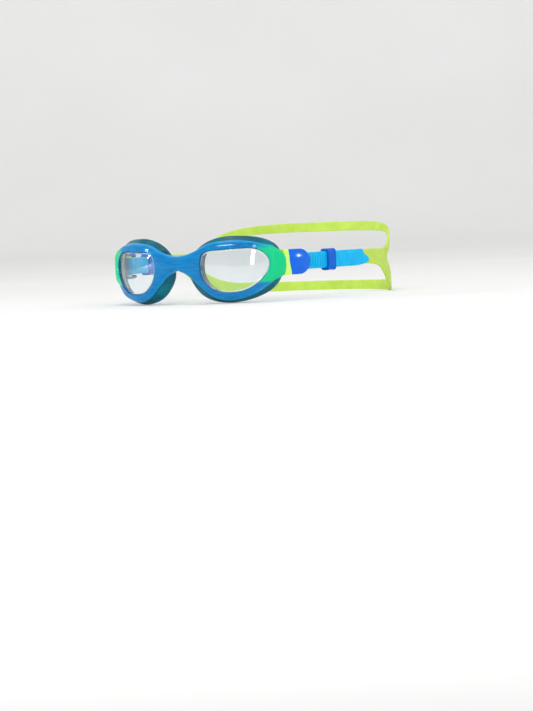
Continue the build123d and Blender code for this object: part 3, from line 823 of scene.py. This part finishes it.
@dataclass
class StrapEnd:
    """Ribbed end: along the head, round the bar and back as a free tail with a tongue."""

    side: Side
    half: float = 4.9
    outer: float = 3.4
    inner: float = 4.9
    tail_outer: float = 1.7
    tail_inner: float = 3.1
    bar_along: float = 5.8
    bar_inset: float = 4.2
    bar_radius: float = 1.1
    start: float = 66.0
    shoulder: float = 74.0
    tip: float = 79.8
    rib_height: float = 0.4
    rib_start: float = 12.0
    rib_pitch: float = 2.4
    rib_width: float = 1.25
    rib_count: int = 14
    jog: float = 9.0
    tongue_start: float = 70.0

    def path(self) -> tuple[np.ndarray, np.ndarray, np.ndarray]:
        """Runs along the head, over to the bar, round it and back, in stations about 0.2 apart.

        Returns:
            Centre line as (along, inset), half the thickness, and 1 on the tail.
        """
        mid, tail = (self.outer + self.inner) / 2, (self.tail_outer + self.tail_inner) / 2
        half_run, half_tail = (self.inner - self.outer) / 2, (self.tail_inner - self.tail_outer) / 2
        turn = self.bar_radius + half_tail
        a = np.linspace(0, np.pi, 26)
        arc = np.stack([self.bar_along - turn * np.sin(a), self.bar_inset + turn * np.cos(a)], 1)
        share = np.linspace(0, 1, 36)[:-1]
        jog_inset = mid + (arc[0, 1] - mid) * smoothstep(share, 0, 1)
        jog_line = np.stack([self.bar_along + self.jog * (1 - share), jog_inset], 1)
        run_x = np.linspace(self.start, self.bar_along + self.jog, 120)[:-1]
        run = np.stack([run_x, np.full(len(run_x), mid)], 1)
        tongue = (self.tip - self.tongue_start) * np.sin(np.linspace(0, np.pi / 2, 70))[1:]
        tail_x = np.linspace(self.bar_along, self.tongue_start, 520)[1:]
        tail_x = np.concatenate([tail_x, self.tongue_start + tongue])
        tail_line = np.stack([tail_x, np.full(len(tail_x), tail)], 1)
        line = np.vstack([run, jog_line, arc, tail_line])
        half = np.full(len(line), half_tail)
        half[: len(run)] = half_run
        on_tail = np.zeros(len(line))
        on_tail[-len(tail_line):] = 1.0
        return line, half, on_tail

    def edges(self, along: np.ndarray, on_tail: np.ndarray) -> tuple[np.ndarray, np.ndarray]:
        """Edges of the strap, with the tail's shoulder and tongue.

        Args:
            along: Distance of each station from the start of the straight run.
            on_tail: 1 for stations on the tail.

        Returns:
            Heights of the bottom and the top edge at each station.
        """
        end, tip = self.shoulder, self.tip
        top = open_spline([
            (end - 1.2, self.half), (end - 0.25, self.half - 0.25), (end + 0.1, 3.6), (end + 1.0, 2.1),
            (tip - 2.2, 0.8), (tip - 0.9, 0.0), (tip - 0.2, -0.8), (tip, -1.6),
        ])
        bottom = open_spline([
            (tip - 24.0, -self.half), (tip - 10.0, -4.75), (tip - 5.0, -4.15), (tip - 1.8, -3.3),
            (tip - 0.35, -2.4), (tip, -1.7),
        ])
        order = np.argsort(top[:, 0], kind="stable")
        high = np.where(on_tail > 0, np.interp(along, top[order, 0], top[order, 1]), self.half)
        low = np.where(on_tail > 0, np.interp(along, bottom[:, 0], bottom[:, 1]), -self.half)
        return low, high

    def ribs(self, along: np.ndarray) -> np.ndarray:
        """Ribs along the tail: narrow ones near the lever and two wide ones.

        Args:
            along: Distance of each station from the start of the straight run.

        Returns:
            Height of the ribs at each station, from 0 to 1.
        """
        starts = [(self.rib_start + i * self.rib_pitch, self.rib_width) for i in range(self.rib_count)]
        starts += [(49.6, 2.8), (57.2, 2.8)]
        rise = np.zeros_like(along)
        for start, width in starts:
            fall = smoothstep(along, start + width - 0.2, start + width + 0.3)
            rise = np.maximum(rise, smoothstep(along, start - 0.3, start + 0.2) * (1 - fall))
        return rise

    def build(self) -> bpy.types.Object:
        """Sweeps the flat section along the path, and raises the ribs from the tail's outer face.

        Returns:
            The strap's end, with an attribute for the grooves between its ribs.
        """
        line, half, on_tail = self.path()
        low, high = self.edges(line[:, 0], on_tail)
        across, heights = band_section(low, high, -half, half, radius=0.4)
        tangent = np.gradient(line, axis=0)
        tangent /= np.linalg.norm(tangent, axis=1)[:, None]
        normal = np.stack([-tangent[:, 1], tangent[:, 0]], 1)
        rise = self.ribs(line[:, 0]) * on_tail * smoothstep(line[:, 0], 10, 11)
        middle = (heights - low[:, None]) / np.maximum(high - low, 1e-3)[:, None]
        band = smoothstep(middle, 0.06, 0.12) * (1 - smoothstep(middle, 0.88, 0.94))
        outer_face = across < 0.0
        across = np.where(outer_face, across - self.rib_height * rise[:, None] * band, across)
        along = line[:, :1] + normal[:, :1] * across
        inset = line[:, 1:] + normal[:, 1:] * across
        s = (RAIL.run_start + along) * self.side.value
        points = RAIL.at(s, inset, heights + STRAP_Z)
        ribbed = smoothstep(line[:, 0], 10.5, 12) * (1 - smoothstep(line[:, 0], 44, 45.5))
        # Painted shade: the outer face darkens between the tail's ribs.
        painted_groove_shade = (ribbed * (1 - self.ribs(line[:, 0])) * on_tail)[:, None] * (outer_face * band)
        grid = Grid(points, wrap_columns=True, caps=(True, True), layers={"painted_groove_shade": painted_groove_shade * 0.8})
        return grid.build(f"strap_end_{self.side.word}_ribbed")


@dataclass
class Keeper:
    """Loop of soft rubber round the strap and its tail, with a rolled edge at each end."""

    side: Side
    along: float = 37.0
    length: float = 7.4
    front: float = 1.0
    back: float = 5.2
    half: float = 5.2
    wall: float = 1.0
    bead: float = 0.3
    squareness: float = 0.16
    columns: int = 96

    def build(self) -> bpy.types.Object:
        """Sweeps the wall's section, with a bead at both edges, round a superellipse that is nearly a rectangle.

        Returns:
            The closed loop.
        """
        a = np.linspace(0, 2 * np.pi, self.columns, endpoint=False)
        mid = (self.front + self.back) / 2
        depth = (self.back - self.front) / 2
        circle = np.stack([np.cos(a), np.sin(a)], 1)
        shape = np.sign(circle) * np.abs(circle) ** self.squareness
        loop = np.stack([mid + shape[:, 0] * depth, shape[:, 1] * self.half], 1)
        loop = resample(loop, self.columns, closed=True)
        step = np.roll(loop, -1, 0) - np.roll(loop, 1, 0)
        out = np.stack([step[:, 1], -step[:, 0]], 1)
        out /= np.linalg.norm(out, axis=1)[:, None]
        t = np.linspace(0, 1, 25)
        bead = self.bead * (np.exp(-(((t - 0.1) / 0.09) ** 2)) + np.exp(-(((t - 0.9) / 0.09) ** 2)))
        edge = 0.45 * (1 - np.sqrt(np.clip(1 - np.clip(1 - np.minimum(t, 1 - t) / 0.07, 0, 1) ** 2, 0, 1)))
        inside = np.array([1.0, 0.75, 0.5, 0.25, 0.0])
        along = self.along + self.length * np.concatenate([t, inside])
        grow = np.concatenate([self.wall + bead - edge, np.zeros(len(inside))])
        flat = loop[None] + out[None] * grow[:, None, None]
        s = (RAIL.run_start + along[:, None]) * self.side.value
        points = RAIL.at(s, flat[..., 0], flat[..., 1] + STRAP_Z)
        return Grid(points, wrap_rows=True, wrap_columns=True).build(f"strap_keeper_{self.side.word}_loop")


@dataclass
class SplitStrap:
    """One layer of the lime strap: from under one tail, past the fork, round the head to the other tail."""

    name: str
    upper: bool
    outer: float = 3.4
    inner: float = 4.9
    start: float = 66.0
    fork: tuple[float, float] = (143.0, -2.2)
    fork_length: float = 6.0

    # Edges of the strap as (distance behind the bridge, height over DATUM_Z), from each side to the back.
    TOP = [
        (98.0, 3.5), (120.0, 3.5), (138.5, 3.5), (148.0, 5.8), (158.0, 10.6), (170.0, 15.6), (186.0, 18.5),
        (230.0, 18.5),
    ]
    BOTTOM = [
        (98.0, -5.6), (118.0, -5.6), (130.5, -7.9), (138.2, -12.4), (145.0, -17.2), (155.0, -21.6),
        (172.0, -23.5), (230.0, -23.5),
    ]
    GAP_TOP = [
        (143.0, -2.2), (143.5, -1.2), (144.7, -0.5), (147.5, 0.7), (155.0, 4.2), (164.0, 8.6), (175.0, 12.0),
        (186.0, 13.0), (230.0, 13.0),
    ]
    GAP_BOTTOM = [
        (143.0, -2.2), (143.4, -3.2), (144.4, -4.2), (147.0, -6.3), (153.0, -9.8), (162.0, -13.8), (172.0, -16.6),
        (186.0, -17.5), (230.0, -17.5),
    ]

    def stations(self) -> np.ndarray:
        """Spaces the band's sections, close together behind the fork.

        Returns:
            Distances along the rail, from one strap end round to the other.
        """
        first, fork = RAIL.run_start + self.start, float(RAIL.s_of_y(np.array(self.fork[0])))
        half_way = np.concatenate([
            np.linspace(first, fork, 90)[:-1],
            fork + self.fork_length * np.linspace(0, 1, 50)[:-1] ** 1.6,
            np.linspace(fork + self.fork_length, RAIL.length, 150),
        ])
        return np.concatenate([half_way, 2 * RAIL.length - half_way[-2::-1]])

    def build(self) -> bpy.types.Object:
        """Sweeps the band's section along the rail through both sides.

        Ahead of the fork the two bands meet at the fork's height, so that edge is left square there.

        Returns:
            The band.
        """
        s = self.stations()
        y = np.interp(np.minimum(s, 2 * RAIL.length - s), RAIL.table["s"], RAIL.table["y"])
        behind = y > self.fork[0]
        if self.upper:
            low, high = np.where(behind, self.edge(self.GAP_TOP, y), self.fork[1]), self.edge(self.TOP, y)
        else:
            low, high = self.edge(self.BOTTOM, y), np.where(behind, self.edge(self.GAP_BOTTOM, y), self.fork[1])
        outer, inner = np.full_like(y, self.outer), np.full_like(y, self.inner)
        insets, heights = band_section(low, high, outer, inner, radius=0.4)
        free = smoothstep(y, self.fork[0], self.fork[0] + 1.0)[:, None]
        square = np.where(insets < (self.outer + self.inner) / 2, self.outer, self.inner)
        from_cut = heights - low[:, None] if self.upper else high[:, None] - heights
        insets = np.where(from_cut < 0.5, insets * free + square * (1 - free), insets)
        points = RAIL.at(s[:, None], insets, heights + DATUM_Z)
        return Grid(points, wrap_columns=True, caps=(True, True)).build(self.name)

    @staticmethod
    def edge(points: list[tuple[float, float]], y: np.ndarray) -> np.ndarray:
        """Height of an edge at distances y behind the bridge."""
        return np.interp(y, *open_spline(points).T)


@dataclass
class LeverCap:
    """Domed cap of the lever with its rolled edge, side cheeks and hollow inside."""

    side: Side
    half: float = 7.5
    front: float = -0.5
    lean: float = 10.0
    round_start: float = 10.9
    end: float = 19.7
    proud: float = 0.5
    deep: float = 5.4
    wall: float = 1.1
    columns: int = 180
    middle: tuple[float, float] = (8.0, 0.0)
    bevel: float = 0.07
    bevel_depth: float = 0.7
    cheek: float = 1.4

    def outline(self, margin: float) -> np.ndarray:
        """Side view of the cap: a slanted front, two straight sides and a round end.

        Args:
            margin: How far the outline is moved in.

        Returns:
            Points as (along, height).
        """
        half, tan = self.half - margin, np.tan(np.radians(self.lean))
        front = self.front + margin
        a = np.linspace(-np.pi / 2, np.pi / 2, 60)
        reach = self.end - margin - self.round_start
        nose = np.stack([self.round_start + reach * np.cos(a), half * np.sin(a)], 1)
        low, high = np.array([[front + tan * half, -half]]), np.array([[front - tan * half, half]])
        return resample(np.vstack([low, nose, high]), self.columns, closed=True)

    def crown(self, plan: np.ndarray) -> np.ndarray:
        """Fall of the dome from its middle: a square law across and another along."""
        across, along = plan[..., 1] / self.half, (plan[..., 0] - self.middle[0]) / (self.end - self.middle[0])
        return 1.15 * across**2 + 0.9 * along**2

    def build(self) -> bpy.types.Object:
        """Joins an outer dome, a rolled edge, the walls and an inner dome into one closed shell.

        The walls reach down beside the arms, and stop short where the strap passes.

        Returns:
            The cap.
        """
        outer, inner, middle = self.outline(0.0), self.outline(self.wall), np.array(self.middle)
        fan = np.sin(np.linspace(0, np.pi / 2, 18))
        bottom = self.cheek + (self.deep - self.cheek) * smoothstep(np.abs(outer[:, 1]), 5.9, 6.35)
        quarter = np.linspace(0, np.pi / 2, 7)
        flat = 1 - self.bevel
        shares = np.concatenate([fan[:-1] * flat, flat + self.bevel * np.sin(quarter)])
        fall = np.concatenate([np.zeros(len(fan) - 1), self.bevel_depth * (1 - np.cos(quarter))])
        dome = middle + (outer - middle) * shares[:, None, None]
        dome_inset = self.crown(dome) - self.proud + fall[:, None]
        down = np.linspace(0, 1, 6)[1:, None]
        wall_inset = dome_inset[-1] * (1 - down) + bottom * down
        up = np.linspace(0, 1, 5)[:, None]
        lining_inset = bottom - (bottom - 1.35) * up
        back = fan[-2::-1, None]
        roof = middle + (inner - middle) * back[:, None]
        roof_inset = np.broadcast_to(0.9 + 0.45 * back**2, roof.shape[:2])
        plan = np.concatenate([dome, np.tile(outer, (len(down), 1, 1)), np.tile(inner, (len(up), 1, 1)), roof])
        inset = np.concatenate([dome_inset, wall_inset, lining_inset, roof_inset])
        points = straight_run(plan[..., 0], inset, plan[..., 1] + STRAP_Z, self.side)
        return Grid(points, wrap_columns=True).build(f"strap_lever_{self.side.word}_cap", weld=True)


def straight_run(along: np.ndarray, inset: np.ndarray, z: np.ndarray, side: Side) -> np.ndarray:
    """Points in the clip's frame: the straight run's line carried on both ways, even before it begins.

    Args:
        along: Distance from the start of the straight run.
        inset: Depth under the run's outer line.
        z: Height.
        side: Half of the goggles.

    Returns:
        Points in the row frame, in millimetres.
    """
    base = RAIL.at(np.array(RAIL.run_start + 1.0), 0.0, 0.0)
    heading = np.radians(RAIL.strap_heading)
    along, inset, z = np.broadcast_arrays(along, inset, z)
    x = base[0] + (along - 1.0) * np.sin(heading) - inset * np.cos(heading)
    y = base[1] + (along - 1.0) * np.cos(heading) + inset * np.sin(heading)
    return np.stack([x * side.value, y, z], axis=-1)


# ---- studio


@dataclass(frozen=True)
class Studio:
    """Camera, floor, backdrop and soft lights. Angles are in degrees, lengths in millimetres."""

    azimuth: float = 29.715
    elevation: float = 1.295
    roll: float = 2.446
    distance: float = 1975.7
    focal_length: float = 171.073
    aside: float = 1.5447
    above: float = 1.5342
    sensor: float = 36.0
    floor_front: float = -9000.0
    floor_back: float = 1500.0
    cove: float = 600.0
    wall_top: float = 3500.0
    floor_half: float = 4000.0

    def camera(self) -> None:
        """Sets the camera so that the bridge sits a little to the left of its axis and above it."""
        az, el, ro = np.radians([self.azimuth, self.elevation, self.roll])
        away = np.array([np.sin(az) * np.cos(el), -np.cos(az) * np.cos(el), np.sin(el)])
        right = np.array([np.cos(az), np.sin(az), 0.0])
        up = np.cross(right, -away)
        axes = np.stack([np.cos(ro) * right - np.sin(ro) * up, np.cos(ro) * up + np.sin(ro) * right, away], 1)
        seen = Vector((-np.tan(radians(self.aside)), np.tan(radians(self.above)), -1))
        turn = seen.rotation_difference(Vector((0, 0, -1))).to_matrix().to_4x4()
        place = Matrix(np.vstack([np.hstack([axes, np.zeros((3, 1))]), [0, 0, 0, 1]]).tolist()) @ turn
        data = bpy.data.cameras.new("camera")
        data.sensor_width = self.sensor
        data.lens = self.focal_length
        data.clip_end = 50.0
        camera = bpy.data.objects.new("camera", data)
        bridge = np.array([0.0, -RAIL.middle_y, DATUM_Z])
        place.translation = Vector(((bridge + away * self.distance) * MM).tolist())
        camera.matrix_world = place
        bpy.context.scene.collection.objects.link(camera)
        bpy.context.scene.camera = camera

    def backdrop(self) -> None:
        """Pale floor that curves up into a wall behind, made as one sweep."""
        a = np.linspace(0, np.pi / 2, 16)[1:]
        wall = np.linspace(self.cove, self.wall_top, 9)[1:]
        curve = self.floor_back + self.cove * np.sin(a)
        flat = np.linspace(self.floor_front, self.floor_back, 20)
        run = np.concatenate([flat, curve, np.full(len(wall), curve[-1])])
        rise = np.concatenate([0 * flat, self.cove * (1 - np.cos(a)), wall])
        across = np.linspace(-self.floor_half, self.floor_half, 12)
        points = np.stack(np.broadcast_arrays(across[None], run[:, None], rise[:, None] - 0.05), axis=-1)
        floor = Grid(points).build("backdrop")
        floor.data.transform(Matrix.Rotation(radians(self.azimuth), 4, "Z"))
        paper = Finish("backdrop_paper", "#F1F0EE", "#EDECEA", 0.8, mottle_mm=300.0, grain_mm=1.0)
        floor.data.materials.append(paper.build())

    def light(self, name: str, place: tuple[float, float, float], size: tuple[float, float],
              power: float) -> None:
        """Adds a soft box that faces the goggles.

        Args:
            name: Name of the light.
            place: Its middle, in metres.
            size: Its two sides, in metres.
            power: Its power in watts.
        """
        data = bpy.data.lights.new(name, "AREA")
        data.shape = "RECTANGLE"
        data.size, data.size_y = size
        data.energy = power
        lamp = bpy.data.objects.new(name, data)
        lamp.location = place
        aim = Vector((0.02, -0.05, 0.02)) - Vector(place)
        lamp.rotation_euler = aim.to_track_quat("-Z", "Y").to_euler()
        bpy.context.scene.collection.objects.link(lamp)

    def build(self) -> None:
        """Sets up the whole studio."""
        self.camera()
        self.backdrop()
        self.light("key", (-1.3, -0.85, 0.3), (0.12, 0.5), 7.0)
        self.light("window", (1.15, -1.1, 0.12), (0.1, 0.22), 1.2)
        self.light("side", (1.25, 1.05, 0.28), (0.09, 0.09), 2.5)
        self.light("fill", (1.5, -0.6, 0.9), (0.5, 0.9), 3.0)
        self.light("brow", (0.48, -1.4, 0.56), (0.5, 0.07), 7.0)
        self.light("top", (0.05, -0.3, 1.5), (0.6, 0.3), 5.0)
        world = bpy.data.worlds.new("studio")
        world.use_nodes = True
        sky = world.node_tree.nodes["Background"].inputs
        sky["Color"].default_value, sky["Strength"].default_value = to_linear("#F6F8FA"), 0.8
        bpy.context.scene.world = world
        bpy.context.scene.view_settings.view_transform = "Standard"


# ---- assembly


@dataclass
class Goggles:
    """Builds every visible piece and ties it to its CAD body."""

    nodes: dict[str, bpy.types.Object]
    finishes: dict[str, bpy.types.Material] = field(default_factory=dict)
    blend_from: float = 144.0
    blend_to: float = 156.0

    def paint(self, obj: bpy.types.Object, finish: Finish, slot: str) -> None:
        """Gives an object one material.

        Args:
            obj: Object to paint.
            finish: Its finish.
            slot: Name of the slot, which is not used.
        """
        if finish.name not in self.finishes:
            self.finishes[finish.name] = finish.build()
        obj.data.materials.clear()
        obj.data.materials.append(self.finishes[finish.name])

    def place(self, obj: bpy.types.Object, finish: Finish, slot: str, body: str, *nodes: str) -> None:
        """Paints a new piece, lets it ride on a body and hides the CAD nodes it stands for.

        Args:
            obj: The new piece.
            finish: Its finish.
            slot: Name of its slot.
            body: Body it moves with.
            *nodes: CAD nodes it stands for.
        """
        self.paint(obj, finish, slot)
        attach(obj, body)
        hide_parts(*nodes)
        LOG.info("built %s on %s", obj.name, body)

    def hard_parts(self) -> None:
        """Finishes for the CAD nodes that are shown as they are."""
        for side in Side:
            for node, finish, slot in (
                ("temple_yoke", LIME_PLASTIC, "lime_plastic"),
                ("strap_bar", STEEL, "steel"),
                ("lever_pin", STEEL, "steel"),
            ):
                obj = self.nodes[f"{node}_{side.word}"]
                self.paint(obj, finish, slot)
                LOG.info("painted %s", obj.name)

    def front(self) -> None:
        """Frame, lenses and face seals."""
        self.place(FrameMoulding().build(), FRAME_TPE, "frame_elastomer", "goggles", "frame")
        for side in Side:
            word = side.word
            self.place(Lens(side).build(), POLYCARBONATE, "lens_polycarbonate", "goggles", f"lens_{word}")
            self.place(FaceSeal(side).build(), SEAL_SILICONE, "seal_silicone", "goggles", f"face_seal_{word}")

    def strap(self) -> None:
        """Ribbed ends, keepers, levers and the split lime strap."""
        for side in Side:
            word = side.word
            self.place(StrapEnd(side).build(), CYAN_SILICONE, "cyan_silicone", "goggles", f"strap_end_{word}")
            keeper, lever = f"keeper_{word}", f"lever_{word}"
            self.place(Keeper(side).build(), KEEPER_SILICONE, "keeper_rubber", keeper, f"strap_{keeper}")
            self.place(LeverCap(side).build(), COBALT, "cobalt_plastic", lever, f"strap_{lever}")
        for upper, name in ((True, "upper"), (False, "lower")):
            band = SplitStrap(f"strap_{name}_lime", upper).build()
            self.paint(band, LIME_SILICONE, "lime_silicone")
            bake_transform(band)
            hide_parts(f"strap_{name}_band", *([f"strap_side_{s.word}" for s in Side] if upper else []))
            LOG.info("built %s", band.name)


def main() -> None:
    """Builds the goggles and the studio, in order."""
    logging.basicConfig(level=logging.INFO, format="%(message)s")
    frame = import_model()
    goggles = Goggles(frame["nodes"])
    goggles.hard_parts()
    goggles.front()
    goggles.strap()
    Studio().build()


if __name__ == "__main__":
    main()
